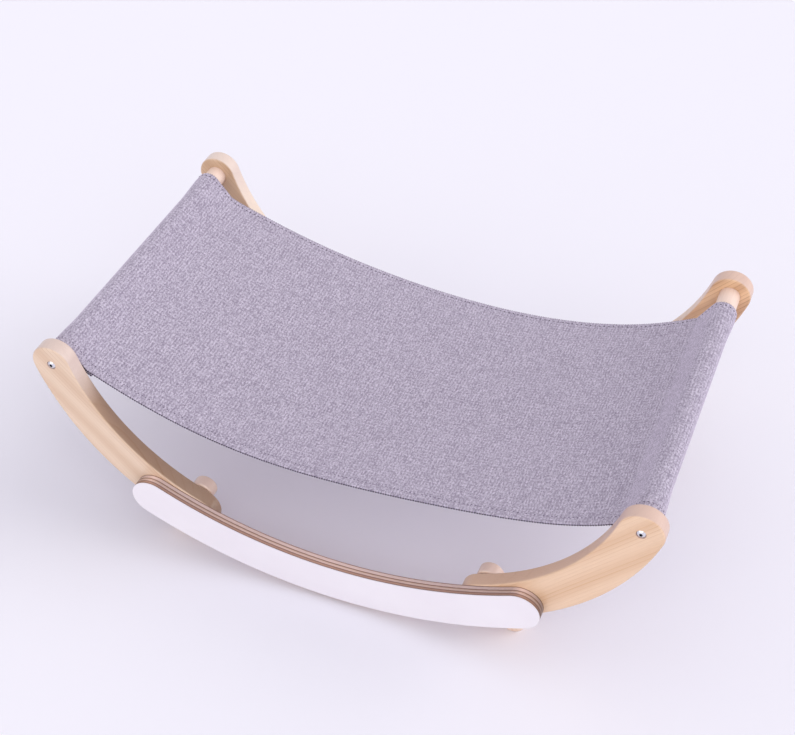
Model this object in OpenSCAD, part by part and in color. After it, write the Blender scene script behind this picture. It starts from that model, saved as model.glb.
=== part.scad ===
// Rocking cat hammock: two smile-shaped side frames, two rails, a cloth sling and four turning stops.
// Millimetres. +X runs along the rockers, +Y to the rear, +Z up. The origin is on the floor, under
// the middle of the hammock, which stands on its four stops with their feet down.

/* [Side frames] */
// Clear distance between the inner faces of the front and rear arms
clear_span = 340; // [280:1:420]
// Gap between the floor and the rocker boards while the hammock stands on its stops
lift = 5; // [3:0.5:15]

/* [Rocker boards] */
// Mid-line radius of the rocker board
rocker_r = 463; // [430:1:520]
// Angle from the lowest point of the board to the centre of each round end
board_half_angle = 25.3; // [24:0.1:30]
// Width of the board across its curve
board_w = 44; // [38:1:52]
// Thickness of the plywood
board_t = 12; // [9:0.5:18]
// Thickness of the white facing on the outer side of the plywood
face_t = 0.7; // [0.5:0.1:1.5]

/* [Arms] */
// Mid-line radius of the arm
arm_r = 249; // [225:1:270]
// Width of the arm across its curve
arm_w = 43.5; // [38:0.5:44]
// Thickness of the arm
arm_t = 17; // [16:0.5:24]
// Round-over along the edges of the arm
arm_round = 2; // [1:0.25:5]
// Angle from vertical at which the arm's curve runs on smoothly from the board's
join_angle = 16.8; // [15:0.1:19]
// Angle from vertical of the centre of the arm's lower round end
arm_start_angle = 22; // [20:0.1:23]
// Angle of the arm's curve between the centres of its round ends
arm_sweep_angle = 50.7; // [45:0.1:56]

/* [Rails] */
// Diameter of the rail
rail_d = 22; // [18:0.5:28]
// Depth of the socket in the arm that takes the end of the rail
socket_depth = 8; // [5:0.5:10]
// Chamfer on the ends of the rail
rail_chamfer = 1; // [0.5:0.25:2]
// Radial clearance of the rail in its socket
rail_fit = 0.1; // [0.05:0.05:0.3]

/* [Rail bolts] */
// Diameter of the bolt's shank
bolt_d = 5; // [4:0.5:6]
// Diameter of the domed head
bolt_head_d = 9.5; // [8:0.5:12]
// Height of the domed head
bolt_head_h = 2.8; // [2.2:0.1:4]
// Depth of the seat that sinks the head into the arm
bolt_seat = 2; // [1:0.25:3]
// Width across the flats of the key socket
bolt_key = 3; // [2.5:0.5:4]
// Length of the shank inside the rail's insert
bolt_engage = 12; // [8:0.5:14]
// Outer diameter of the threaded insert in the rail
rail_insert_d = 8; // [7.5:0.5:10]
// Length of the threaded insert in the rail
rail_insert_len = 15; // [14.5:0.5:20]

/* [Stops] */
// Angle from vertical of the stop's pivot on the arm's curve
stop_angle = 23.7; // [22.5:0.1:25]
// Lean of a lowered stop from vertical, its foot outwards
stop_lean = 27; // [20:0.5:32]
// Width of the stop
stop_w = 25; // [20:1:28]
// Thickness of the stop
stop_t = 14; // [10:0.5:18]
// Distance from the pivot to the centre of the stop's upper round end
stop_tail = 10; // [6:1:20]
// Round-over along the edges of the stop
stop_round = 2; // [1:0.25:4]
// Depth of the flat where the foot meets the floor
foot_flat = 0.6; // [0.3:0.1:1.5]
// Gap between the stop and the washer on each side
stop_play = 0.1; // [0.05:0.05:0.3]

/* [Stop pivots] */
// Diameter of the pivot bolt's shank
pivot_d = 6; // [5:0.5:8]
// Radial running clearance of the stop on its pivot bolt
pivot_fit = 0.05; // [0.02:0.01:0.1]
// Diameter of the pivot bolt's domed head
pivot_head_d = 12; // [11:0.5:14]
// Height of the pivot bolt's domed head
pivot_head_h = 3.4; // [2.8:0.1:5]
// Width across the flats of the pivot bolt's key socket
pivot_key = 4; // [3:0.5:5]
// Length of the pivot bolt's shank inside the arm's insert
pivot_engage = 11; // [8:0.5:12]
// Outer diameter of the threaded insert in the arm
arm_insert_d = 9; // [8.5:0.5:11]
// Length of the threaded insert in the arm
arm_insert_len = 13; // [12.5:0.5:14]
// Diameter of the washers beside the stop
washer_d = 16; // [14.5:0.5:20]
// Thickness of the washers beside the stop
washer_t = 1.2; // [0.8:0.1:2]

/* [Arm screws] */
// Diameter of the screw's shank
screw_d = 4; // [3:0.5:5]
// Diameter of the countersunk head
screw_head_d = 8; // [7:0.5:9]
// Depth of the screw in the plywood
screw_bite = 8; // [6:0.5:8.5]
// Length of the screw's point
screw_point = 3; // [2:0.5:5]
// Distance along the arm from the stop's pivot to each screw
screw_offset = 18; // [15:0.5:20]
// Radial clearance of bolts, screws and inserts in their holes
hole_fit = 0.05; // [0.02:0.01:0.1]

/* [Sling] */
// Gap between the sling's front edge and the front arms
front_gap = 2.5; // [2:0.5:30]
// Gap between the sling's rear edge and the rear arms
rear_gap = 23.5; // [2:0.5:30]
// Sag of the cloth below the rails at the middle
sag = 74; // [40:1:110]
// Thickness of the cloth
cloth_t = 1.6; // [1:0.1:2.5]
// Distance from the rail's axis to the seam of the sleeve
sleeve_len = 30; // [24:1:60]
// Gap between the sleeve and the rail
sleeve_gap = 0.3; // [0.2:0.1:1]
// Width of the hems along the two long edges
hem_w = 8; // [5:1:24]

/* [Hidden] */

$fn = 96;
// How far a cut runs past the surface that it opens
overrun = 1;
// How much smaller a bar's round end is than the bar, on each side
end_inset = 0.05;
// Height of the straight rim under a domed head, as a share of the head
rim_share = 0.3;
// Depth of a key socket, as a share of the head
key_share = 0.6;
// Reach of the wedge that trims an arc, as a share of the arc's radius
wedge_share = 1.5;
// Depth of a folded hem below the cloth's mid-surface, as a share of the cloth's thickness
hem_share = 1.5;

pine = "#E8CBA4";
plywood = "#C39C74";
white = "#F3F0F3";
cloth = "#A59CA8";
steel = "#C9CACC";
brass = "#C9A86A";

// Distances of the side frames' faces from the middle of the hammock
half_span = clear_span / 2;
arm_out = half_span + arm_t;
board_out = arm_out + board_t;
face_out = board_out + face_t;

// Centres of the board's and the right arm's curves
rocker_z = lift + board_w / 2 + rocker_r;
arm_x = (rocker_r - arm_r) * sin(join_angle);
arm_z = rocker_z - (rocker_r - arm_r) * cos(join_angle);

// A point on the right arm's mid-line, by its angle from straight down
function on_arm(angle) = [arm_x + arm_r * sin(angle), arm_z - arm_r * cos(angle)];
arm_end_angle = arm_start_angle + arm_sweep_angle;
rail_x = on_arm(arm_end_angle)[0];
rail_z = on_arm(arm_end_angle)[1];
pivot_x = on_arm(stop_angle)[0];
pivot_z = on_arm(stop_angle)[1];
screw_step = screw_offset / arm_r * 180 / PI;
screw_angles = [stop_angle - screw_step, stop_angle + screw_step];

// Distances of the stop's faces and of its bolt's seat from the middle of the hammock
stop_out = half_span - washer_t - stop_play;
stop_in = stop_out - stop_t;
pivot_seat = stop_in - stop_play - washer_t;
// Distance from the pivot to the centre of the foot's round end, with the foot on the floor
stop_reach = (pivot_z - stop_w / 2 + foot_flat) / cos(stop_lean);

// The rail's end and the seat of the bolt that draws it up
rail_end = half_span + socket_depth;
bolt_under = arm_out - bolt_seat;

// Arc of the sling's mid-surface, through the two rails' axes
sling_r = (rail_x * rail_x + sag * sag) / (2 * sag);
sling_z = rail_z - sag + sling_r;
rail_angle = asin(rail_x / sling_r);
seam_angle = rail_angle - 2 * asin(sleeve_len / (2 * sling_r));
seam_x = sling_r * sin(seam_angle);
seam_z = sling_z - sling_r * cos(seam_angle);
sleeve_turn = atan2(seam_z - rail_z, seam_x - rail_x);
sleeve_in = rail_d / 2 + sleeve_gap;
sleeve_out = sleeve_in + cloth_t;
sleeve_point = sleeve_len * sleeve_out / sleeve_in;
hem_angle = seam_angle - (sleeve_point - sleeve_len) / sling_r * 180 / PI;
sling_front = -half_span + front_gap;
sling_rear = half_span - rear_gap;

// Section of a bar, with rounded edges where e is above zero
module bar_section(w, t, e) {
    if (e > 0) {
        square([w - 2 * e, t], center = true);
        square([w, t - 2 * e], center = true);
        for (sx = [-1, 1], sy = [-1, 1])
            translate([sx * (w / 2 - e), sy * (t / 2 - e)])
                circle(r = e);
    } else {
        square([w, t], center = true);
    }
}

// Round end of a bar about the Y axis, a hair smaller than the bar so that the bar's end closes on it
module round_end(w, t, e) {
    rotate([90, 0, 0])
        rotate_extrude()
            intersection() {
                bar_section(w - 2 * end_inset, t - 2 * end_inset, e);
                translate([0, -t])
                    square([w, 2 * t]);
            }
}

// Curved bar about the origin in the XZ plane, with round ends, angles taken from straight down
module arc_bar(r, from, to, w, t, e) {
    rotate([90, 0, 0])
        rotate([0, 0, from - 90])
            rotate_extrude(angle = to - from)
                translate([r, 0])
                    bar_section(w, t, e);
    for (angle = [from, to])
        translate([r * sin(angle), 0, -r * cos(angle)])
            round_end(w, t, e);
}

// Straight bar with round ends that hangs from the origin in the XZ plane
module straight_bar(down, up, w, t, e) {
    translate([0, 0, -down])
        linear_extrude(height = down + up)
            bar_section(w, t, e);
    for (z = [-down, up])
        translate([0, 0, z])
            round_end(w, t, e);
}

// Rod along Y between two places, tapered if the second diameter differs
module rod(y0, y1, d0, d1) {
    translate([0, y0, 0])
        rotate([-90, 0, 0])
            cylinder(h = y1 - y0, d1 = d0, d2 = d1);
}

module tube(y0, y1, d_out, d_in) {
    difference() {
        rod(y0, y1, d_out, d_out);
        rod(y0 - overrun, y1 + overrun, d_in, d_in);
    }
}

// Domed head with a hexagonal key socket, its seat on the XY plane
module domed_head(d, h, key) {
    rim = h * rim_share;
    dome = h - rim;
    dome_r = (d * d / 4 + dome * dome) / (2 * dome);
    difference() {
        union() {
            cylinder(h = rim, d = d);
            translate([0, 0, rim])
                rotate_extrude()
                    intersection() {
                        translate([0, dome - dome_r])
                            circle(r = dome_r);
                        square([d / 2, dome]);
                    }
        }
        translate([0, 0, h - h * key_share])
            cylinder(h = h * key_share + overrun, d = key / cos(30), $fn = 6);
    }
}

// Moves a piece made for the front right corner to any corner
module corner(side, depth) {
    mirror([side < 0 ? 1 : 0, 0, 0])
        mirror([0, depth > 0 ? 1 : 0, 0])
            children();
}

module each_corner() {
    for (side = [-1, 1], depth = [-1, 1])
        corner(side, depth)
            children();
}

module at_rail() {
    translate([rail_x, 0, rail_z])
        children();
}

module at_pivot() {
    translate([pivot_x, 0, pivot_z])
        children();
}

module at_screws() {
    for (angle = screw_angles)
        translate([on_arm(angle)[0], 0, on_arm(angle)[1]])
            children();
}

// Side frames

module rocker_board() {
    pilot_d = screw_d + 2 * hole_fit;
    color(plywood)
        difference() {
            translate([0, -(arm_out + board_out) / 2, rocker_z])
                arc_bar(rocker_r, -board_half_angle, board_half_angle, board_w, board_t, 0);
            for (side = [-1, 1])
                corner(side, -1)
                    at_screws()
                        rod(-arm_out - screw_bite - hole_fit, -arm_out + overrun, pilot_d, pilot_d);
        }
}

module rocker_face() {
    color(white)
        translate([0, -(board_out + face_out) / 2, rocker_z])
            arc_bar(rocker_r, -board_half_angle, board_half_angle, board_w, face_t, 0);
}

module arm() {
    socket_d = rail_d + 2 * rail_fit;
    bolt_hole_d = bolt_d + 2 * hole_fit;
    seat_d = bolt_head_d + 2 * rail_fit;
    insert_hole_d = arm_insert_d + 2 * hole_fit;
    shank_hole_d = screw_d + 2 * hole_fit;
    sink_d = screw_head_d + 2 * hole_fit;
    sink_depth = (sink_d - shank_hole_d) / 2;
    color(pine)
        difference() {
            translate([arm_x, -(half_span + arm_out) / 2, arm_z])
                arc_bar(arm_r, arm_start_angle, arm_end_angle, arm_w, arm_t, arm_round);
            at_rail() {
                rod(-rail_end, -half_span + overrun, socket_d, socket_d);
                rod(-arm_out - overrun, -half_span, bolt_hole_d, bolt_hole_d);
                rod(-arm_out - overrun, -bolt_under, seat_d, seat_d);
            }
            at_pivot()
                rod(-half_span - arm_insert_len, -half_span + overrun, insert_hole_d, insert_hole_d);
            at_screws() {
                rod(-arm_out - overrun, -half_span + overrun, shank_hole_d, shank_hole_d);
                rod(-half_span - sink_depth, -half_span, shank_hole_d, sink_d);
            }
        }
}

// Rails and their bolts

module rail() {
    hole_d = rail_insert_d + 2 * hole_fit;
    color(pine)
        translate([rail_x, 0, rail_z])
            difference() {
                rotate([90, 0, 0])
                    rotate_extrude()
                        polygon([
                            [0, -rail_end], [rail_d / 2 - rail_chamfer, -rail_end],
                            [rail_d / 2, -rail_end + rail_chamfer], [rail_d / 2, rail_end - rail_chamfer],
                            [rail_d / 2 - rail_chamfer, rail_end], [0, rail_end]
                        ]);
                rod(-rail_end - overrun, -rail_end + rail_insert_len, hole_d, hole_d);
                rod(rail_end - rail_insert_len, rail_end + overrun, hole_d, hole_d);
            }
}

module rail_insert() {
    color(brass)
        at_rail()
            tube(-rail_end, -rail_end + rail_insert_len, rail_insert_d, bolt_d + 2 * hole_fit);
}

module rail_bolt() {
    color(steel)
        at_rail() {
            translate([0, -bolt_under, 0])
                rotate([90, 0, 0])
                    domed_head(bolt_head_d, bolt_head_h, bolt_key);
            rod(-bolt_under, -rail_end + bolt_engage, bolt_d, bolt_d);
        }
}

module arm_screw() {
    head_h = (screw_head_d - screw_d) / 2;
    color(steel)
        at_screws() {
            rod(-half_span - head_h, -half_span, screw_d, screw_head_d);
            rod(-arm_out - screw_bite + screw_point, -half_span - head_h, screw_d, screw_d);
            rod(-arm_out - screw_bite, -arm_out - screw_bite + screw_point, 0, screw_d);
        }
}

// Stops and their pivots

module stop() {
    bore_d = pivot_d + 2 * pivot_fit;
    floor_cut = 2 * stop_w;
    color(pine)
        difference() {
            at_pivot()
                difference() {
                    translate([0, -(stop_in + stop_out) / 2, 0])
                        rotate([0, -stop_lean, 0])
                            straight_bar(stop_reach, stop_tail, stop_w, stop_t, stop_round);
                    rod(-stop_out - overrun, -stop_in + overrun, bore_d, bore_d);
                }
            translate([pivot_x + stop_reach * sin(stop_lean) - stop_w, -stop_out - overrun, -stop_w])
                cube([floor_cut, stop_t + 2 * overrun, stop_w]);
        }
}

module stop_insert() {
    color(brass)
        at_pivot()
            tube(-half_span - arm_insert_len, -half_span, arm_insert_d, pivot_d + 2 * hole_fit);
}

module stop_bolt() {
    color(steel)
        at_pivot() {
            translate([0, -pivot_seat, 0])
                rotate([-90, 0, 0])
                    domed_head(pivot_head_d, pivot_head_h, pivot_key);
            rod(-half_span - pivot_engage, -pivot_seat, pivot_d, pivot_d);
        }
}

module stop_washer_pair() {
    hole_d = pivot_d + 2 * hole_fit;
    color(steel)
        at_pivot() {
            tube(-half_span, -half_span + washer_t, washer_d, hole_d);
            tube(-pivot_seat - washer_t, -pivot_seat, washer_d, hole_d);
        }
}

// Sling

// Drop-shaped outline whose two straight sides meet at a point on the X axis
module drop(r, point) {
    touch = acos(r / point);
    circle(r = r);
    polygon([[0, 0], [r * cos(touch), r * sin(touch)], [point, 0], [r * cos(touch), -r * sin(touch)]]);
}

module sleeve_outline() {
    translate([rail_x, rail_z])
        rotate(sleeve_turn)
            difference() {
                drop(sleeve_out, sleeve_point);
                drop(sleeve_in, sleeve_len);
            }
}

// Stretch of the sling's arc, between two depths below its mid-surface
module band_outline(half_angle, top, bottom) {
    reach = sling_r * wedge_share;
    translate([0, sling_z])
        intersection() {
            difference() {
                circle(r = sling_r + bottom);
                circle(r = sling_r + top);
            }
            polygon([
                [0, 0],
                [-reach * sin(half_angle), -reach * cos(half_angle)],
                [reach * sin(half_angle), -reach * cos(half_angle)]
            ]);
        }
}

module along_rails(y0, y1) {
    translate([0, y1, 0])
        rotate([90, 0, 0])
            linear_extrude(height = y1 - y0)
                children();
}

module sling() {
    color(cloth) {
        along_rails(sling_front, sling_rear) {
            band_outline(seam_angle, -cloth_t / 2, cloth_t / 2);
            sleeve_outline();
            mirror([1, 0])
                sleeve_outline();
        }
        along_rails(sling_front, sling_front + hem_w)
            band_outline(hem_angle, 0, hem_share * cloth_t);
        along_rails(sling_rear - hem_w, sling_rear)
            band_outline(hem_angle, 0, hem_share * cloth_t);
    }
}

corner(1, -1) rocker_board();  // front_rocker_board
corner(1, -1) rocker_face();  // front_rocker_face
corner(1, 1) rocker_board();  // rear_rocker_board
corner(1, 1) rocker_face();  // rear_rocker_face
corner(-1, -1) arm();  // front_left_arm
corner(1, -1) arm();  // front_right_arm
corner(-1, 1) arm();  // rear_left_arm
corner(1, 1) arm();  // rear_right_arm
corner(-1, -1) rail();  // left_rail
corner(1, -1) rail();  // right_rail
each_corner() rail_insert();  // rail_inserts
each_corner() rail_bolt();  // rail_bolts
each_corner() arm_screw();  // arm_screws
corner(-1, -1) stop();  // front_left_stop
corner(1, -1) stop();  // front_right_stop
corner(-1, 1) stop();  // rear_left_stop
corner(1, 1) stop();  // rear_right_stop
each_corner() stop_insert();  // stop_inserts
each_corner() stop_bolt();  // stop_bolts
each_corner() stop_washer_pair();  // stop_washers
sling();
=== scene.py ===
# Rocking cat hammock: the looks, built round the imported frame
import math

import bmesh
import bpy
from mathutils import Matrix, Vector


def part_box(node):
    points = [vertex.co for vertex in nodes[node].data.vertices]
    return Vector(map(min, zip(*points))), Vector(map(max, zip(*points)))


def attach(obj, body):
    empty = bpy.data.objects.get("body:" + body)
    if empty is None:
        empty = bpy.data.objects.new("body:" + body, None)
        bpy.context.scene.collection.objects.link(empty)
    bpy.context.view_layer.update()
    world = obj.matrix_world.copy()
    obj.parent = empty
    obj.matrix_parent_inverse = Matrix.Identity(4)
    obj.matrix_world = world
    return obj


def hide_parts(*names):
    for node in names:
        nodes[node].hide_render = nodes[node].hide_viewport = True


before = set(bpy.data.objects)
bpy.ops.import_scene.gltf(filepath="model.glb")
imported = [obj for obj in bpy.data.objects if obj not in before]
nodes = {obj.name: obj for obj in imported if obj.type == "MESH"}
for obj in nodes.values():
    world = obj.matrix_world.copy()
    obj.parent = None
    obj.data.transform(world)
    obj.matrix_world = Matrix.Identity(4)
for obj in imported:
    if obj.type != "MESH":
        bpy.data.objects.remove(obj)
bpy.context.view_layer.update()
mm = 0.001
print("frame loaded:", len(nodes), "nodes")


# Camera, at the viewing angle of the photograph
viewpoint = {
    "place": (0.42411, -1.0595, 1.17172),  # metres
    "azimuth": 22.08,                      # degrees round the object, from straight in front
    "elevation": 41.76,                    # degrees above the floor
    "roll": -0.16,                         # degrees
    "focal": 1461.16,                      # focal length in pixels of a picture 795 wide
    "pictureWidth": 795,
    "sensorWidth": 36.0,                   # millimetres
    "farthest": 50.0,                      # metres
}
cameraData = bpy.data.cameras.new("viewCamera")
cameraData.sensor_width = viewpoint["sensorWidth"]
cameraData.lens = viewpoint["focal"] / viewpoint["pictureWidth"] * viewpoint["sensorWidth"]
cameraData.clip_end = viewpoint["farthest"]
camera = bpy.data.objects.new("viewCamera", cameraData)
bpy.context.collection.objects.link(camera)
camera.matrix_world = (
    Matrix.Translation(viewpoint["place"])
    @ Matrix.Rotation(math.radians(viewpoint["azimuth"]), 4, "Z")
    @ Matrix.Rotation(math.radians(90 - viewpoint["elevation"]), 4, "X")
    @ Matrix.Rotation(math.radians(viewpoint["roll"]), 4, "Z")
)
bpy.context.scene.camera = camera
bpy.context.scene.view_settings.view_transform = "Standard"
print("camera set")


# Small helpers for materials
def tint(hexText):
    # sRGB hex to linear, as the shader sockets want it
    parts = [int(hexText[i:i + 2], 16) / 255 for i in (1, 3, 5)]
    return tuple(c / 12.92 if c <= 0.04045 else ((c + 0.055) / 1.055) ** 2.4 for c in parts) + (1.0,)


def newMaterial(name):
    material = bpy.data.materials.new(name)
    material.use_nodes = True
    tree = material.node_tree
    return material, tree, tree.nodes["Principled BSDF"]


def addNode(tree, kind, links=(), inputs=(), stops=(), **settings):
    node = tree.nodes.new("ShaderNode" + kind)
    for name, value in settings.items():
        setattr(node, name, value)
    for socket, value in dict(inputs).items():
        node.inputs[socket].default_value = value
    for socket, source in dict(links).items():
        tree.links.new(source, node.inputs[socket])
    for i, (place, colour) in enumerate(stops):
        element = node.color_ramp.elements[i] if i < 2 else node.color_ramp.elements.new(place)
        element.position = place
        element.color = tint(colour)
    return node


def dress(names, material):
    for name in names:
        for place in nodes[name].material_slots:
            place.material = material


# A wave texture repeats every 0.31416 / scale metres
def waveScale(pitch):
    return math.pi / 10 / (pitch * mm)


# Clear-lacquered pine: pale earlywood, with soft tan latewood lines along the piece,
# and plainer where it was cut across
pine = {
    "ringPitch": 4.2,            # mm between two growth rings
    "ringStray": 8.0,            # how far the rings wander
    "lineShare": (0.08, 0.5),    # how strongly a ring shows, from patch to patch
    "bandPitch": 26.0,           # mm between the wider changes of tone
    "bandShare": 0.34,           # how strongly these show
    "ringStretch": 0.1,          # rings and bands change this much slower along the grain
    "fibre": 0.5,                # mm across one fibre
    "fibreStretch": 0.03,
    "edgeShare": 0.25,           # how much of the grain shows on the rounded edges
    "armSlope": 47.3,            # degrees, the way that an arm's grain runs from its lower end to the rail
    "stopSlope": 63.0,
    "paintedShadeEdge": (170.0, 208.0),  # mm above the floor, where an arm's painted curve tone passes into its painted round-end tone; on the front left arm this is a painted shadow's edge
    "roughness": 0.42,
    "glossStray": 0.08,
    "ior": 1.5,
    "lacquer": (0.4, 0.2),       # weight and roughness of the clear coat
}
grainTonesAndPaintedLight = {                    # earlywood, latewood, then painted light and shade on the round ends and on the curves below them, set arm by arm to how each is lit
    "pale": ("#eed3b9", "#cb9d75", "#d6c2bc", "#947259"),
    # brown's earlywood and latewood are partly the wood's own tone and partly painted shade, as the rear
    # left arm's face lies in the sling's shadow
    "brown": ("#dcba99", "#b48860", "#ebdad2", "#f4e3d3"),
    "golden": ("#f1cfaf", "#ce9a67", "#d4b5ab", "#e0bba0"),
    "heart": ("#f1c69b", "#92502a", "#dabcb1", "#e4c7b0"),
    "cream": ("#f6decd", "#dcb79a", "#f2d8ca", "#eed3c3"),
}


def pineMaterial(name, turn, heart, tone):
    # turn lays the X axis along the grain, heart brings the tree's centre to the origin, in mm
    material, tree, shader = newMaterial(name)
    early, late, endPaintedLight, curvePaintedLight = grainTonesAndPaintedLight[tone]
    place = addNode(tree, "TexCoord")
    along = addNode(tree, "Mapping", {"Vector": place.outputs["Object"]},
                    {"Rotation": [math.radians(a) for a in turn], "Location": [h * mm for h in heart]})
    longWay = addNode(tree, "Mapping", {"Vector": along.outputs["Vector"]},
                      {"Scale": (pine["ringStretch"], 1, 1)})
    rings = addNode(tree, "TexWave", {"Vector": longWay.outputs["Vector"]},
                    {"Scale": waveScale(pine["ringPitch"]), "Distortion": pine["ringStray"], "Detail": 2.0,
                     "Detail Scale": 0.3, "Detail Roughness": 0.5},
                    wave_type="RINGS", rings_direction="X", wave_profile="SAW")
    lines = addNode(tree, "ValToRGB", {"Fac": rings.outputs["Fac"]},
                    stops=[(0.3, "#000000"), (0.99, "#000000"), (0.75, "#606060"), (0.92, "#ffffff")])
    bands = addNode(tree, "TexWave", {"Vector": longWay.outputs["Vector"]},
                    {"Scale": waveScale(pine["bandPitch"]), "Distortion": 4.0, "Detail": 1.0,
                     "Detail Scale": 1.2},
                    wave_type="RINGS", rings_direction="X", wave_profile="SIN")
    patches = addNode(tree, "TexNoise", {"Vector": longWay.outputs["Vector"]},
                      {"Scale": 60.0, "Detail": 2.0})
    leastLine, mostLine = pine["lineShare"]
    lineShare = addNode(tree, "MapRange", {"Value": patches.outputs["Fac"]},
                        {"From Min": 0.38, "From Max": 0.66, "To Min": leastLine, "To Max": mostLine})
    facing = addNode(tree, "SeparateXYZ", {"Vector": place.outputs["Normal"]})
    flat = addNode(tree, "Math", {0: facing.outputs["Y"]}, operation="ABSOLUTE")
    flatShare = addNode(tree, "MapRange", {"Value": flat.outputs["Value"]},
                        {"From Min": 0.3, "From Max": 0.9, "To Min": pine["edgeShare"], "To Max": 1.0})
    shownLines = addNode(tree, "Math", {0: lines.outputs["Color"], 1: lineShare.outputs["Result"]},
                         operation="MULTIPLY")
    grainTone = addNode(tree, "Math", {0: bands.outputs["Fac"], 2: shownLines.outputs["Value"]},
                        {1: pine["bandShare"]}, operation="MULTIPLY_ADD", use_clamp=True)
    faceTone = addNode(tree, "ValToRGB", {"Fac": grainTone.outputs["Value"]},
                       stops=[(0.0, early), (1.0, late)])
    # the rounded surfaces carry painted light and shade, not sanding: the curve's painted tone low down, the
    # round end's painted tone higher up
    apart = addNode(tree, "SeparateXYZ", {"Vector": place.outputs["Object"]})
    height = addNode(tree, "MapRange", {"Value": apart.outputs["Z"]},
                     {"From Min": pine["paintedShadeEdge"][0] * mm, "From Max": pine["paintedShadeEdge"][1] * mm})
    paintedEdgeLight = addNode(tree, "Mix", {0: height.outputs["Result"]}, {6: tint(curvePaintedLight), 7: tint(endPaintedLight)},
                     data_type="RGBA")
    colour = addNode(tree, "Mix", {0: flatShare.outputs["Result"], 6: paintedEdgeLight.outputs[2],
                                   7: faceTone.outputs["Color"]}, data_type="RGBA")
    fibreSpace = addNode(tree, "Mapping", {"Vector": along.outputs["Vector"]},
                         {"Scale": (pine["fibreStretch"], 1, 1)})
    fibres = addNode(tree, "TexNoise", {"Vector": fibreSpace.outputs["Vector"]},
                     {"Scale": 1 / (pine["fibre"] * mm), "Detail": 3.0, "Roughness": 0.6})
    fibreShade = addNode(tree, "MapRange", {"Value": fibres.outputs["Fac"]},
                         {"From Min": 0.3, "From Max": 0.7, "To Min": 0.94, "To Max": 1.03})
    grained = addNode(tree, "VectorMath", {0: colour.outputs[2], "Scale": fibreShade.outputs["Result"]},
                      operation="SCALE")
    tree.links.new(grained.outputs["Vector"], shader.inputs["Base Color"])
    gloss = addNode(tree, "MapRange", {"Value": fibres.outputs["Fac"]},
                    {"To Min": pine["roughness"] + pine["glossStray"],
                     "To Max": pine["roughness"] - pine["glossStray"]})
    tree.links.new(gloss.outputs["Result"], shader.inputs["Roughness"])
    relief = addNode(tree, "Bump", {"Height": fibres.outputs["Fac"]},
                     {"Strength": 0.12, "Distance": 0.2 * mm})
    tree.links.new(relief.outputs["Normal"], shader.inputs["Normal"])
    shader.inputs["IOR"].default_value = pine["ior"]
    shader.inputs["Coat Weight"].default_value = pine["lacquer"][0]
    shader.inputs["Coat Roughness"].default_value = pine["lacquer"][1]
    return material


lean = pine["armSlope"]
dress(["front_left_arm"], pineMaterial("pineFrontLeft", (0, -lean, 0), (0, 215, 216), "pale"))
dress(["front_right_arm"], pineMaterial("pineFrontRight", (0, lean, 0), (130, 200, 190), "golden"))
dress(["rear_left_arm"], pineMaterial("pineRearLeft", (0, -lean, 0), (300, -150, 250), "brown"))
dress(["rear_right_arm"], pineMaterial("pineRearRight", (0, lean, 0), (420, -140, 240), "heart"))
dress(["left_rail", "right_rail"], pineMaterial("pineRails", (0, 0, 90), (0, 60, -350), "cream"))
for side, sign in (("left", 1), ("right", -1)):
    stopTurn = (0, sign * pine["stopSlope"], 0)
    stopPine = pineMaterial("pineStops" + side.title(), stopTurn, (0, 40, 160), "cream")
    dress([f"front_{side}_stop", f"rear_{side}_stop"], stopPine)
print("pine done")


# Birch plywood under clear lacquer: light and dark plies on every edge,
# darker at both rims as painted shade where the ply meets the arms and the laminate
plywood = {
    "inner": 187.0,            # mm from the middle of the hammock to a board's bare inner face
    "outer": 199.0,            # and to the face under the laminate
    "stray": 0.25,             # mm that a ply wanders
    "plies": ("#e5cac1", "#d8b8a5", "#bb9481", "#9c7666", "#775342"),  # light, warm, brown, dark, rim
    "veneer": "#e6cbb2",       # the inner face, rotary cut and nearly plain
    "endGrainAndPaintedLight": (1.16, 0.4),   # tone of the long edges, raised as painted light, and of the ends, darker for end grain that drinks the lacquer and as painted shade
    "roughness": 0.5,
}


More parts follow.
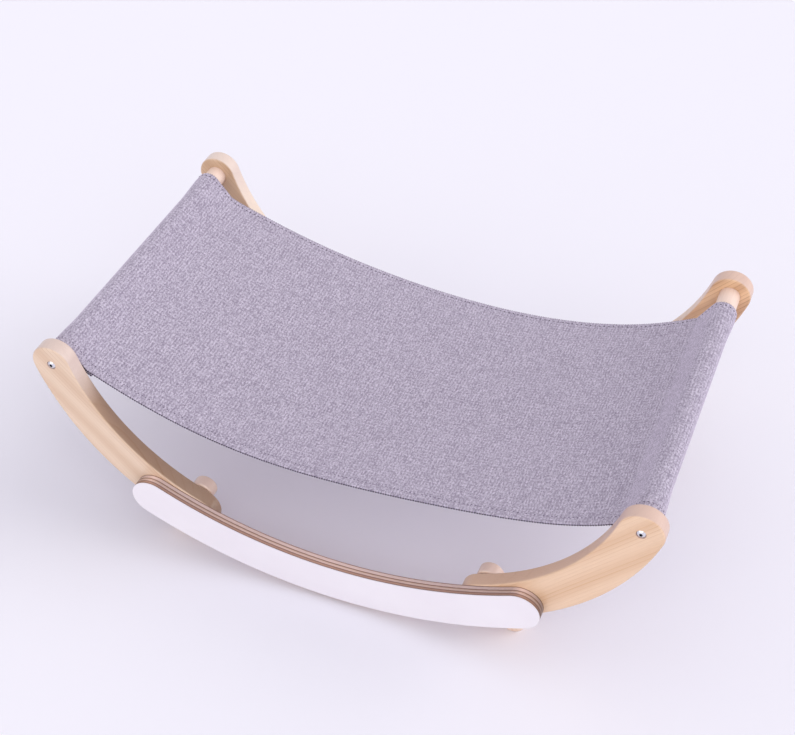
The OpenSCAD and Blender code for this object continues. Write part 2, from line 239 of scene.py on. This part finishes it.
def plywoodMaterial():
    material, tree, shader = newMaterial("birchPlywood")
    place = addNode(tree, "TexCoord")
    apart = addNode(tree, "SeparateXYZ", {"Vector": place.outputs["Object"]})
    depth = addNode(tree, "Math", {0: apart.outputs["Y"]}, operation="ABSOLUTE")
    rough = addNode(tree, "TexNoise", {"Vector": place.outputs["Object"]}, {"Scale": 220.0, "Detail": 3.0})
    stray = addNode(tree, "MapRange", {"Value": rough.outputs["Fac"]},
                    {"To Min": -plywood["stray"] * mm, "To Max": plywood["stray"] * mm})
    depthStray = addNode(tree, "Math", {0: depth.outputs["Value"], 1: stray.outputs["Result"]},
                         operation="ADD")
    layer = addNode(tree, "MapRange", {"Value": depthStray.outputs["Value"]},
                    {"From Min": plywood["inner"] * mm, "From Max": plywood["outer"] * mm})
    light, warm, brown, dark, rim = plywood["plies"]
    # the dark band at the inner face and the rim colour at the laminate are painted shade where the ply
    # meets the arms and the laminate
    bands = addNode(tree, "ValToRGB", {"Fac": layer.outputs["Result"]}, stops=[
        (0.0, dark), (1.0, rim), (0.06, dark), (0.1, light), (0.34, light), (0.37, dark), (0.44, dark),
        (0.48, warm), (0.66, light), (0.69, dark), (0.76, dark), (0.8, brown), (0.93, brown), (0.96, rim)])
    grainSpace = addNode(tree, "Mapping", {"Vector": place.outputs["Object"]}, {"Scale": (0.05, 1, 1)})
    grain = addNode(tree, "TexNoise", {"Vector": grainSpace.outputs["Vector"]},
                    {"Scale": 900.0, "Detail": 3.0})
    shade = addNode(tree, "MapRange", {"Value": grain.outputs["Fac"]},
                    {"From Min": 0.3, "From Max": 0.7, "To Min": 0.9, "To Max": 1.06})
    facing = addNode(tree, "SeparateXYZ", {"Vector": place.outputs["Normal"]})
    flat = addNode(tree, "Math", {0: facing.outputs["Y"]}, operation="ABSOLUTE")
    faceShare = addNode(tree, "MapRange", {"Value": flat.outputs["Value"]},
                        {"From Min": 0.7, "From Max": 0.9})
    colour = addNode(tree, "Mix", {0: faceShare.outputs["Result"], 6: bands.outputs["Color"]},
                     {7: tint(plywood["veneer"])}, data_type="RGBA")
    # long edges are brightened as painted light from above; ends are darkened partly for their end grain and
    # partly as painted shade
    end = addNode(tree, "Math", {0: facing.outputs["X"]}, operation="ABSOLUTE")
    endGrainAndPaintedLight = addNode(tree, "MapRange", {"Value": end.outputs["Value"]},
                       {"To Min": plywood["endGrainAndPaintedLight"][0], "To Max": plywood["endGrainAndPaintedLight"][1]})
    level = addNode(tree, "Math", {0: shade.outputs["Result"], 1: endGrainAndPaintedLight.outputs["Result"]},
                    operation="MULTIPLY")
    toned = addNode(tree, "VectorMath", {0: colour.outputs[2], "Scale": level.outputs["Value"]},
                    operation="SCALE")
    tree.links.new(toned.outputs["Vector"], shader.inputs["Base Color"])
    relief = addNode(tree, "Bump", {"Height": grain.outputs["Fac"]},
                     {"Strength": 0.15, "Distance": 0.2 * mm})
    tree.links.new(relief.outputs["Normal"], shader.inputs["Normal"])
    shader.inputs["Roughness"].default_value = plywood["roughness"]
    return material


dress(["front_rocker_board", "rear_rocker_board"], plywoodMaterial())
print("plywood done")


# White melamine laminate: satin, with the faint ripple that pressing leaves
laminate = {
    "whites": ("#f1ebf1", "#f5f0f5"),  # clouds of two whites, hardly apart
    "roughness": 0.38,
}


def laminateMaterial():
    material, tree, shader = newMaterial("whiteLaminate")
    place = addNode(tree, "TexCoord")
    pressed = addNode(tree, "TexNoise", {"Vector": place.outputs["Object"]}, {"Scale": 260.0, "Detail": 2.0})
    relief = addNode(tree, "Bump", {"Height": pressed.outputs["Fac"]},
                     {"Strength": 0.05, "Distance": 0.2 * mm})
    tree.links.new(relief.outputs["Normal"], shader.inputs["Normal"])
    clouds = addNode(tree, "TexNoise", {"Vector": place.outputs["Object"]}, {"Scale": 14.0, "Detail": 3.0})
    dull, bright = laminate["whites"]
    white = addNode(tree, "ValToRGB", {"Fac": clouds.outputs["Fac"]}, stops=[(0.3, dull), (0.7, bright)])
    tree.links.new(white.outputs["Color"], shader.inputs["Base Color"])
    shader.inputs["Roughness"].default_value = laminate["roughness"]
    return material


dress(["front_rocker_face", "rear_rocker_face"], laminateMaterial())


# Bright nickel-plated and plain zinc-plated steel, and brass: bare metals with fine turning marks
metals = {
    "nickel": {"colour": "#dfe0e6", "roughness": 0.07, "marks": 900.0},
    "zinc": {"colour": "#b9bbc2", "roughness": 0.3, "marks": 700.0},
    "brass": {"colour": "#c9a558", "roughness": 0.28, "marks": 700.0},
}
keyShade = {"colour": "#15141f", "railBolt": 1.75, "stopBolt": 2.3}  # key sockets, painted dark as shade, with their radii in mm


def metalMaterial(name, finish, key=None):
    # key is (x, z, radius) in mm of the key sockets, whose inside is painted dark as shade
    material, tree, shader = newMaterial(name)
    metal = metals[finish]
    place = addNode(tree, "TexCoord")
    scuffs = addNode(tree, "TexNoise", {"Vector": place.outputs["Object"]},
                     {"Scale": metal["marks"], "Detail": 4.0})
    gloss = addNode(tree, "MapRange", {"Value": scuffs.outputs["Fac"]},
                    {"To Min": metal["roughness"] * 0.7, "To Max": metal["roughness"] * 1.4})
    tree.links.new(gloss.outputs["Result"], shader.inputs["Roughness"])
    shader.inputs["Base Color"].default_value = tint(metal["colour"])
    shader.inputs["Metallic"].default_value = 1.0
    if key:
        x, z, radius = (value * mm for value in key)
        apart = addNode(tree, "SeparateXYZ", {"Vector": place.outputs["Object"]})
        side = addNode(tree, "Math", {0: apart.outputs["X"]}, operation="ABSOLUTE")
        flatPlace = addNode(tree, "CombineXYZ", {"X": side.outputs["Value"], "Y": apart.outputs["Z"]})
        fromAxis = addNode(tree, "VectorMath", {0: flatPlace.outputs["Vector"]}, {1: (x, z, 0)},
                           operation="DISTANCE")
        rim = addNode(tree, "MapRange", {"Value": fromAxis.outputs["Value"]},
                      {"From Min": radius * 0.9, "From Max": radius})
        # inside the key socket the colour is painted shade
        colour = addNode(tree, "Mix", {0: rim.outputs["Result"]},
                         {6: tint(keyShade["colour"]), 7: tint(metal["colour"])}, data_type="RGBA")
        tree.links.new(colour.outputs[2], shader.inputs["Base Color"])
    return material


railLow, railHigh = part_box("right_rail")
railX = (railLow[0] + railHigh[0]) / 2 / mm
railZ = (railLow[2] + railHigh[2]) / 2 / mm
railRadius = (railHigh[2] - railLow[2]) / 2 / mm
pivotLow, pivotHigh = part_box("stop_bolts")
pivotZ = (pivotLow[2] + pivotHigh[2]) / 2 / mm
pivotX = pivotHigh[0] / mm - (pivotHigh[2] - pivotLow[2]) / 2 / mm
dress(["rail_bolts"], metalMaterial("nickelPlate", "nickel", (railX, railZ, keyShade["railBolt"])))
dress(["stop_bolts"], metalMaterial("zincPlateBolts", "zinc", (pivotX, pivotZ, keyShade["stopBolt"])))
dress(["stop_washers", "arm_screws"], metalMaterial("zincPlate", "zinc"))
dress(["rail_inserts", "stop_inserts"], metalMaterial("turnedBrass", "brass"))
print("laminate and metals done")


# Sling: one length of cloth, folded round both rails and sewn, with its long edges hemmed
sling = {
    "cloth": 1.2,                   # mm, thickness
    "cutLength": 735.0,             # before sewing
    "railGap": 0.3,                 # room between a rail and its sleeve
    "seamReach": 30.0,              # from a rail's axis to the seam of its sleeve
    "seamDrop": (1.15, 2.2),        # from a seam to the layer under it, in cloths and in swells
    "allowance": 7.0,               # cloth past the seam, underneath
    "hem": 9.5,                     # width of the folded hems
    "hemShares": (1, 0.66, 0.33),   # where the rows of a folded hem lie, in shares of its width
    "hemRoom": 0.1,                 # room that a hem needs in a sleeve beyond its own thickness
    "hemFade": 40.0,                # how far in from a hem that room closes up
    "foldRadius": 0.7,
    "foldSteps": 6,
    "frontHem": (88.2, -15.9, 17.8, 32.0),   # depth, lean, fullness and skew of the hanging curve
    "rearHem": (84.6, -13.9, 14.1, 0.0),
    "middleSag": 4.0,               # how much lower the middle hangs than the hems
    "rearLeft": 5.5,                # the rear edge runs askew: its offset at the left and right rails
    "rearRight": -5.5,
    "sleeveSteps": (3, 5, 18, 6),   # allowance, lower layer, round the rail, upper layer
    "panelSteps": 150,
    "acrossSteps": 80,
    "puckerReach": (9.0, 6.0),      # how far puckers run from a seam, into the panel and into the sleeve
    "puckers": ((0.26, 2.3, 0.0, 0.8), (0.2, 3.7, 1.0, 2.1)),   # height, length, twist and start
    "waves": ((0.8, 15.0, 2.2, 0.4), (0.6, 24.0, -3.1, 1.7)),
    "waveStart": 80.0,              # from a seam to where the waves are at their full height
    "creaseWidth": 8.0,
    "creases": (                    # start, end, depth: soft pulls from the corners of the seams
        ((-274, 146), (-224, 130), 2.2), ((266, 138), (232, 108), 1.0),
        ((-266, -158), (-226, -128), 0.8), ((262, -158), (220, -124), 1.1),
    ),
}
slingLow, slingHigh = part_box("sling")
edgeFront, edgeRear = slingLow[1] / mm, slingHigh[1] / mm


def ease(t):
    t = min(1.0, max(0.0, t))
    return t * t * (3 - 2 * t)


def panelHeight(x, across):
    # height of the hanging cloth, across running from 0 at the front hem to 1 at the rear
    q = x / railX
    b = 1 - q * q
    depth, lean, full, skew = (f + (r - f) * across for f, r in zip(sling["frontHem"], sling["rearHem"]))
    middle = sling["middleSag"] * 4 * across * (1 - across)
    return railZ - b * (depth - lean * q - full * b - skew * q * b + middle)


def seamPlace(side, across):
    # halves the way from the rail's axis inwards until the seam's reach is met
    near, far = 0.0, sling["seamReach"]
    for _ in range(30):
        inset = (near + far) / 2
        reach = math.hypot(inset, panelHeight(side * (railX - inset), across) - railZ)
        near, far = (inset, far) if reach < sling["seamReach"] else (near, inset)
    x = side * (railX - inset)
    return Vector((x, panelHeight(x, across)))


def sleevePath(side, across, swell):
    # from under the seam, round the rail and back to the seam, as (x, z); swell makes room for a hem
    spare, lower, around, upper = sling["sleeveSteps"]
    seam = seamPlace(side, across)
    axis = Vector((side * railX, railZ))
    radius = railRadius + sling["railGap"] + sling["cloth"] / 2 + swell
    out = (axis - seam).normalized()
    down = Vector((side * out.y, -side * out.x))
    under = seam + down * (sling["cloth"] * sling["seamDrop"][0] + sling["seamDrop"][1] * swell)
    path = [under - out * sling["allowance"] * (1 - i / spare) for i in range(spare)]
    touches, angles = [], []
    for start, turn in ((under, -1), (seam, 1)):
        reach = (axis - start).length
        aim = math.atan2(railZ - start.y, side * (axis.x - start.x)) + turn * math.asin(radius / reach)
        run = math.sqrt(reach * reach - radius * radius)
        touches.append(start + Vector((side * math.cos(aim), math.sin(aim))) * run)
        angles.append(aim + turn * math.pi / 2)
    path += [under.lerp(touches[0], i / lower) for i in range(lower)]
    for i in range(around):
        a = angles[0] + (angles[1] - angles[0]) * i / around
        path.append(axis + Vector((side * math.cos(a), math.sin(a))) * radius)
    path += [touches[1].lerp(seam, i / upper) for i in range(upper)]
    return path


def clothPath(across, swell):
    # the whole length of the cloth, from the left allowance to the right one
    first, last = seamPlace(-1, across), seamPlace(1, across)
    steps = sling["panelSteps"]
    xs = [first.x + (last.x - first.x) * i / steps for i in range(steps + 1)]
    panel = [Vector((x, panelHeight(x, across))) for x in xs]
    return sleevePath(-1, across, swell) + panel + sleevePath(1, across, swell)[::-1]


def acrossRows():
    # (share of the width, mm inward, mm below) for each row: hem, fold, panel, fold, hem
    radius, hem, steps = sling["foldRadius"], sling["hem"], sling["acrossSteps"]
    fold = [(hem * share, 2 * radius) for share in sling["hemShares"]]
    for i in range(sling["foldSteps"]):
        turn = math.pi * i / sling["foldSteps"]
        fold.append((radius * (1 - math.sin(turn)), radius * (1 + math.cos(turn))))
    rows = [(0, inward, below) for inward, below in fold]
    rows += [(i / steps, radius * (1 - 2 * i / steps), 0.0) for i in range(steps + 1)]
    return rows + [(1, -inward, below) for inward, below in fold[::-1]]


def edgePlace(across, x):
    q = x / railX
    rear = edgeRear + sling["rearLeft"] * (1 - q) / 2 + sling["rearRight"] * (1 + q) / 2
    return edgeFront + (rear - edgeFront) * across


def swing(rows, y, q):
    return sum(height * math.sin(y / length + twist * q + start) for height, length, twist, start in rows)


def ripple(x, y, toSeam):
    # puckers beside the seams, slow waves in the panel and pulls from the corners, in mm;
    # toSeam is the way to the seam, less than 0 in a sleeve
    q = x / railX
    reach = sling["puckerReach"][0 if toSeam > 0 else 1]
    pucker = math.exp(-abs(toSeam) / reach) * swing(sling["puckers"], y, q)
    if toSeam <= 0:
        return pucker
    height = pucker + swing(sling["waves"], y, q) * ease(toSeam / sling["waveStart"])
    for start, end, depth in sling["creases"]:
        way = Vector(end) - Vector(start)
        offset = Vector((x, y)) - Vector(start)
        along = offset.dot(way) / way.length_squared
        if 0 < along < 1:
            aside = offset.cross(way) / way.length / sling["creaseWidth"]
            height -= depth * math.sin(math.pi * along) * (1 - aside) * math.exp(-aside * aside)
    return height


def slingGrid():
    # rows of (place, up) over the cloth's middle surface in mm, and the run along each row
    grid, runs = [], []
    seamColumn = sum(sling["sleeveSteps"])
    upper = sling["sleeveSteps"][3]
    for across, inward, below in acrossRows():
        fromEdge = min(across, 1 - across) * (edgeRear - edgeFront)
        nearHem = ease(1 - (fromEdge - sling["hem"]) / sling["hemFade"])
        path = clothPath(across, (2 * sling["foldRadius"] + sling["hemRoom"]) * nearHem)
        last = len(path) - 1
        row, run, rowRuns = [], 0.0, []
        for i, point in enumerate(path):
            way = (path[min(i + 1, last)] - path[max(i - 1, 0)]).normalized()
            up = Vector((-way.y, way.x))
            y = edgePlace(across, point.x) + inward
            nearest = seamColumn if i < last / 2 else last - seamColumn
            toSeam = (point - path[nearest]).length
            inPanel = seamColumn <= i <= last - seamColumn
            onTop = seamColumn - upper <= i <= last - seamColumn + upper
            lift = ripple(point.x, y, toSeam if inPanel else -toSeam) if onTop else 0.0
            spot = point + up * (lift - below)
            row.append((Vector((spot.x, y, spot.y)), Vector((up.x, 0, up.y))))
            run += (point - path[max(i - 1, 0)]).length
            rowRuns.append(run)
        grid.append(row)
        runs.append([r - run / 2 for r in rowRuns])
    return grid, runs


def buildSling(grid, runs):
    # the UV map measures the cloth as cut, in metres, for the weave
    columns, rows = len(grid[0]), len(grid)
    bpy.ops.object.select_all(action="DESELECT")
    bpy.ops.mesh.primitive_grid_add(x_subdivisions=columns - 1, y_subdivisions=rows - 1, size=1)
    cloth = bpy.context.object
    cloth.name = "sling_cloth"
    across = [0.0]
    for before, after in zip(grid, grid[1:]):
        across.append(across[-1] + (after[columns // 2][0] - before[columns // 2][0]).length)
    at = [(round((v.co.x + 0.5) * (columns - 1)), round((v.co.y + 0.5) * (rows - 1)))
          for v in cloth.data.vertices]
    uv = cloth.data.uv_layers.active.data
    for loop in cloth.data.loops:
        i, j = at[loop.vertex_index]
        uv[loop.index].uv = (runs[j][i] * mm, across[j] * mm)
    for vertex, (i, j) in zip(cloth.data.vertices, at):
        vertex.co = grid[j][i][0] * mm
    bpy.ops.object.shade_smooth()
    thickness = cloth.modifiers.new("thickness", "SOLIDIFY")
    thickness.thickness = sling["cloth"] * mm
    thickness.offset = 0
    bpy.ops.object.modifier_apply(modifier="thickness")
    return cloth


clothGrid, clothRuns = slingGrid()
slingCloth = buildSling(clothGrid, clothRuns)
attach(slingCloth, "frame")
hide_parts("sling")
print("sling built:", len(slingCloth.data.polygons), "faces")


# Sewing thread: short plump stitches, dark along the edges and pale along the sleeves' seams; the thread at
# the folded edges is darker and bigger than real thread, to paint the shade under the fold
thread = {                  # mm between stitches, and length, width and thickness of one
    "front": {"pitch": 4.2, "size": (2.2, 0.9, 0.8), "colour": "#6c6276"},
    "rear": {"pitch": 5.2, "size": (2.2, 1.2, 0.9), "colour": "#484050"},
    "seam": {"pitch": 3.6, "size": (3.1, 0.7, 0.7), "colour": "#d2cad8"},
    # overlock thread at the folded edges, partly real thread and partly painted shade under the fold
    "edge": {"pitch": 2.6, "size": (2.5, 1.8, 1.1), "colour": "#453d4e"},
}
spun = {"twist": 0.8, "shade": (0.75, 1.2), "roughness": 0.75}  # twist in mm from turn to turn


def threadMaterial(kind):
    # spun polyester: matt, a little mottled by its twist
    material, tree, shader = newMaterial(kind + "Thread")
    place = addNode(tree, "TexCoord")
    twist = addNode(tree, "TexNoise", {"Vector": place.outputs["Object"]},
                    {"Scale": 1 / (spun["twist"] * mm), "Detail": 1.0})
    shade = addNode(tree, "MapRange", {"Value": twist.outputs["Fac"]},
                    {"To Min": spun["shade"][0], "To Max": spun["shade"][1]})
    toned = addNode(tree, "VectorMath", {"Scale": shade.outputs["Result"]},
                    {0: tint(thread[kind]["colour"])[:3]}, operation="SCALE")
    tree.links.new(toned.outputs["Vector"], shader.inputs["Base Color"])
    shader.inputs["Roughness"].default_value = spun["roughness"]
    return material


def sew(name, kind, lines):
    # lines are lists of (place, up) in mm; each gets stitches at an even pitch
    stitch = thread[kind]
    bpy.ops.object.select_all(action="DESELECT")
    bpy.ops.mesh.primitive_uv_sphere_add(segments=6, ring_count=4, radius=0.5)
    first = bpy.context.object
    row = bmesh.new()
    for line in lines:
        wanted, run = stitch["pitch"] / 2, 0.0
        for (start, up), (end, _) in zip(line, line[1:]):
            step = end - start
            while step.length > 0 and wanted <= run + step.length:
                spot = start + step * ((wanted - run) / step.length)
                along = step.normalized()
                turn = Matrix((along, up.cross(along), up)).transposed().to_4x4()
                size = Matrix.Diagonal((*stitch["size"], 1))
                copy = first.data.copy()
                copy.transform(Matrix.Translation(spot * mm) @ turn @ size @ Matrix.Scale(mm, 4))
                row.from_mesh(copy)
                bpy.data.meshes.remove(copy)
                wanted += stitch["pitch"]
            run += step.length
    first.name = name
    row.to_mesh(first.data)
    row.free()
    bpy.ops.object.shade_smooth()
    first.data.materials.append(threads[kind])
    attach(first, "frame")
    return first


def raised(line, height):
    return [(place + up * height, up) for place, up in line]


threads = {kind: threadMaterial(kind) for kind in thread}
skin = sling["cloth"] / 2
hemLayers = 2 * sling["foldRadius"]                      # mm between a hem's two layers
foldRows = len(sling["hemShares"]) + sling["foldSteps"]  # rows of the grid in a hem and its fold
edgeRow = len(sling["hemShares"]) + sling["foldSteps"] // 2
stitchColumn = sum(sling["sleeveSteps"]) + 1             # one column from the seam into the panel
frontLine, rearLine = clothGrid[foldRows + 2], clothGrid[-foldRows - 2]
leftLine = [row[stitchColumn] for row in clothGrid[foldRows:-foldRows]]
rightLine = [row[-stitchColumn - 1] for row in clothGrid[foldRows:-foldRows]]
frontEdge = [(place, Vector((0, -1, 0))) for place, up in clothGrid[edgeRow]]
rearEdge = [(place, Vector((0, 1, 0))) for place, up in clothGrid[-edgeRow - 1]]
stitching = [
    sew("front_hem_stitches", "front", [raised(frontLine, skin), raised(frontLine, -skin - hemLayers)]),
    sew("rear_hem_stitches", "rear", [raised(rearLine, skin), raised(rearLine, -skin - hemLayers)]),
    sew("left_seam_stitches", "seam", [raised(leftLine, skin)]),
    sew("right_seam_stitches", "seam", [raised(rightLine, skin)]),
    sew("front_edge_stitches", "edge", [raised(frontEdge, skin)]),
    sew("rear_edge_stitches", "edge", [raised(rearEdge, skin)]),
]
print("stitches sewn:", sum(len(row.data.polygons) for row in stitching), "faces")


# Linen-look polyester: slubby grey-violet threads,
# each float of thread a little lighter or darker than the next
weave = {
    "float": (1.0, 1.6),   # mm across and along one float, coarser than the real ones, so that they show
    "stray": 0.7,          # how far a float strays, in floats
    "floatTones": ("#8e8496", "#aba2b3", "#c7bece"),
    "ribPitch": 3.3,       # mm between the heavier threads, which run along the rails
    "crossPitch": 4.2,     # mm between the heavier threads that cross them
    "crossShare": 0.6,     # how far these stand up beside the ribs
    "grooveShadeCrownLight": (0.82, 1.17),   # painted shade between the heavy threads and painted light on them
    "roughness": 0.88,
    "sheen": (0.62, 0.5, "#f3e8fb"),   # weight, roughness and tint of the fuzz
}


def linenMaterial():
    material, tree, shader = newMaterial("linenCloth")
    place = addNode(tree, "TexCoord")
    across, along = weave["float"]
    floatSpace = addNode(tree, "Mapping", {"Vector": place.outputs["UV"]},
                         {"Scale": (1 / (across * mm), 1 / (along * mm), 1)})
    drift = addNode(tree, "TexNoise", {"Vector": floatSpace.outputs["Vector"]},
                    {"Scale": 0.35, "Detail": 1.0})
    strayed = addNode(tree, "VectorMath", {0: drift.outputs["Color"], 2: floatSpace.outputs["Vector"]},
                      {1: (weave["stray"] * 2, weave["stray"] * 2, 0)}, operation="MULTIPLY_ADD")
    cells = addNode(tree, "VectorMath", {0: strayed.outputs["Vector"]}, operation="FLOOR")
    specks = addNode(tree, "TexWhiteNoise", {"Vector": cells.outputs["Vector"]}, noise_dimensions="2D")
    dark, middle, pale = weave["floatTones"]
    tone = addNode(tree, "ValToRGB", {"Fac": specks.outputs["Value"]},
                   stops=[(0.0, dark), (1.0, pale), (0.5, middle)])
    heavy = []
    for pitch, direction in (("ribPitch", "X"), ("crossPitch", "Y")):
        heavy.append(addNode(tree, "TexWave", {"Vector": place.outputs["UV"]},
                             {"Scale": waveScale(weave[pitch]), "Distortion": 2.0, "Detail": 1.0,
                              "Detail Scale": 2.0},
                             wave_type="BANDS", bands_direction=direction, wave_profile="SIN"))
    ribs, crosses = heavy
    crown = addNode(tree, "Math", {0: crosses.outputs["Fac"], 2: ribs.outputs["Fac"]},
                    {1: weave["crossShare"]}, operation="MULTIPLY_ADD")
    # the weave's relief is also painted into its colour: painted shade in the grooves, painted light on the
    # crowns
    shade = addNode(tree, "MapRange", {"Value": crown.outputs["Value"]},
                    {"From Max": 1 + weave["crossShare"], "To Min": weave["grooveShadeCrownLight"][0],
                     "To Max": weave["grooveShadeCrownLight"][1]})
    toned = addNode(tree, "VectorMath", {0: tone.outputs["Color"], "Scale": shade.outputs["Result"]},
                    operation="SCALE")
    tree.links.new(toned.outputs["Vector"], shader.inputs["Base Color"])
    relief = addNode(tree, "Bump", {"Height": crown.outputs["Value"]},
                     {"Strength": 0.4, "Distance": 0.3 * mm})
    tree.links.new(relief.outputs["Normal"], shader.inputs["Normal"])
    shader.inputs["Roughness"].default_value = weave["roughness"]
    sheenWeight, sheenRoughness, sheenTint = weave["sheen"]
    shader.inputs["Sheen Weight"].default_value = sheenWeight
    shader.inputs["Sheen Roughness"].default_value = sheenRoughness
    shader.inputs["Sheen Tint"].default_value = tint(sheenTint)
    return material


slingCloth.data.materials.clear()
slingCloth.data.materials.append(linenMaterial())
print("linen done")


# Pale floor and soft studio light
studio = {
    "floor": "#f5f3fb",
    "floorSize": 12.0,          # metres
    "floorDrop": 0.1,           # mm below the rocker boards, so that the two don't flicker
    "floorRoughness": 0.9,
    "sky": "#f6f4fb",
    "skyStrength": 0.74,
    "skyFront": 0.62,           # share of it left in front, where the studio is darker
    "skyTurn": (-0.95, -0.35),  # from front to side, where that share goes over to the whole
    "lamps": (                  # name, tilt and turn in degrees, strength, spread in degrees
        ("backLamp", (45, 0, 120), 0.5, 50),
        ("sideLamp", (72, 0, 112), 0.74, 50),
        ("frontLamp", (50, 0, 28), 0.6, 50),
        ("lowFrontLamp", (72, 0, -15), 0.54, 50),
    ),
}
bpy.ops.object.select_all(action="DESELECT")
bpy.ops.mesh.primitive_plane_add(size=studio["floorSize"], location=(0, 0, -studio["floorDrop"] * mm))
floor = bpy.context.object
floor.name = "studio_floor"
floorMaterial, floorTree, floorShader = newMaterial("studioFloor")
floorShader.inputs["Base Color"].default_value = tint(studio["floor"])
floorShader.inputs["Roughness"].default_value = studio["floorRoughness"]
floorShader.inputs["Specular IOR Level"].default_value = 0.0
floor.data.materials.append(floorMaterial)

# The sky lights the object at its own level, and is seen, mirrored and seen through at full white
world = bpy.data.worlds.new("studioSky")
bpy.context.scene.world = world
world.use_nodes = True
skyTree = world.node_tree
sky = skyTree.nodes["Background"]
sky.inputs["Color"].default_value = tint(studio["sky"])
skyPlace = addNode(skyTree, "TexCoord")
skyParts = addNode(skyTree, "SeparateXYZ", {"Vector": skyPlace.outputs["Generated"]})
skyLevel = addNode(skyTree, "MapRange", {"Value": skyParts.outputs["Y"]},
                   {"From Min": studio["skyTurn"][0], "From Max": studio["skyTurn"][1],
                    "To Min": studio["skyStrength"] * studio["skyFront"], "To Max": studio["skyStrength"]})
rays = addNode(skyTree, "LightPath")
mirrored = addNode(skyTree, "Math", {0: rays.outputs["Is Camera Ray"], 1: rays.outputs["Is Glossy Ray"]},
                   operation="MAXIMUM")
seen = addNode(skyTree, "Math", {0: mirrored.outputs["Value"], 1: rays.outputs["Is Transmission Ray"]},
               operation="MAXIMUM")
skySeen = addNode(skyTree, "Mix", {0: seen.outputs["Value"], 2: skyLevel.outputs["Result"]}, {3: 1.0})
skyTree.links.new(skySeen.outputs[0], sky.inputs["Strength"])
for name, turn, strength, spread in studio["lamps"]:
    lampData = bpy.data.lights.new(name, "SUN")
    lampData.energy = strength
    lampData.angle = math.radians(spread)
    lamp = bpy.data.objects.new(name, lampData)
    lamp.rotation_euler = [math.radians(a) for a in turn]
    bpy.context.collection.objects.link(lamp)
print("studio set")
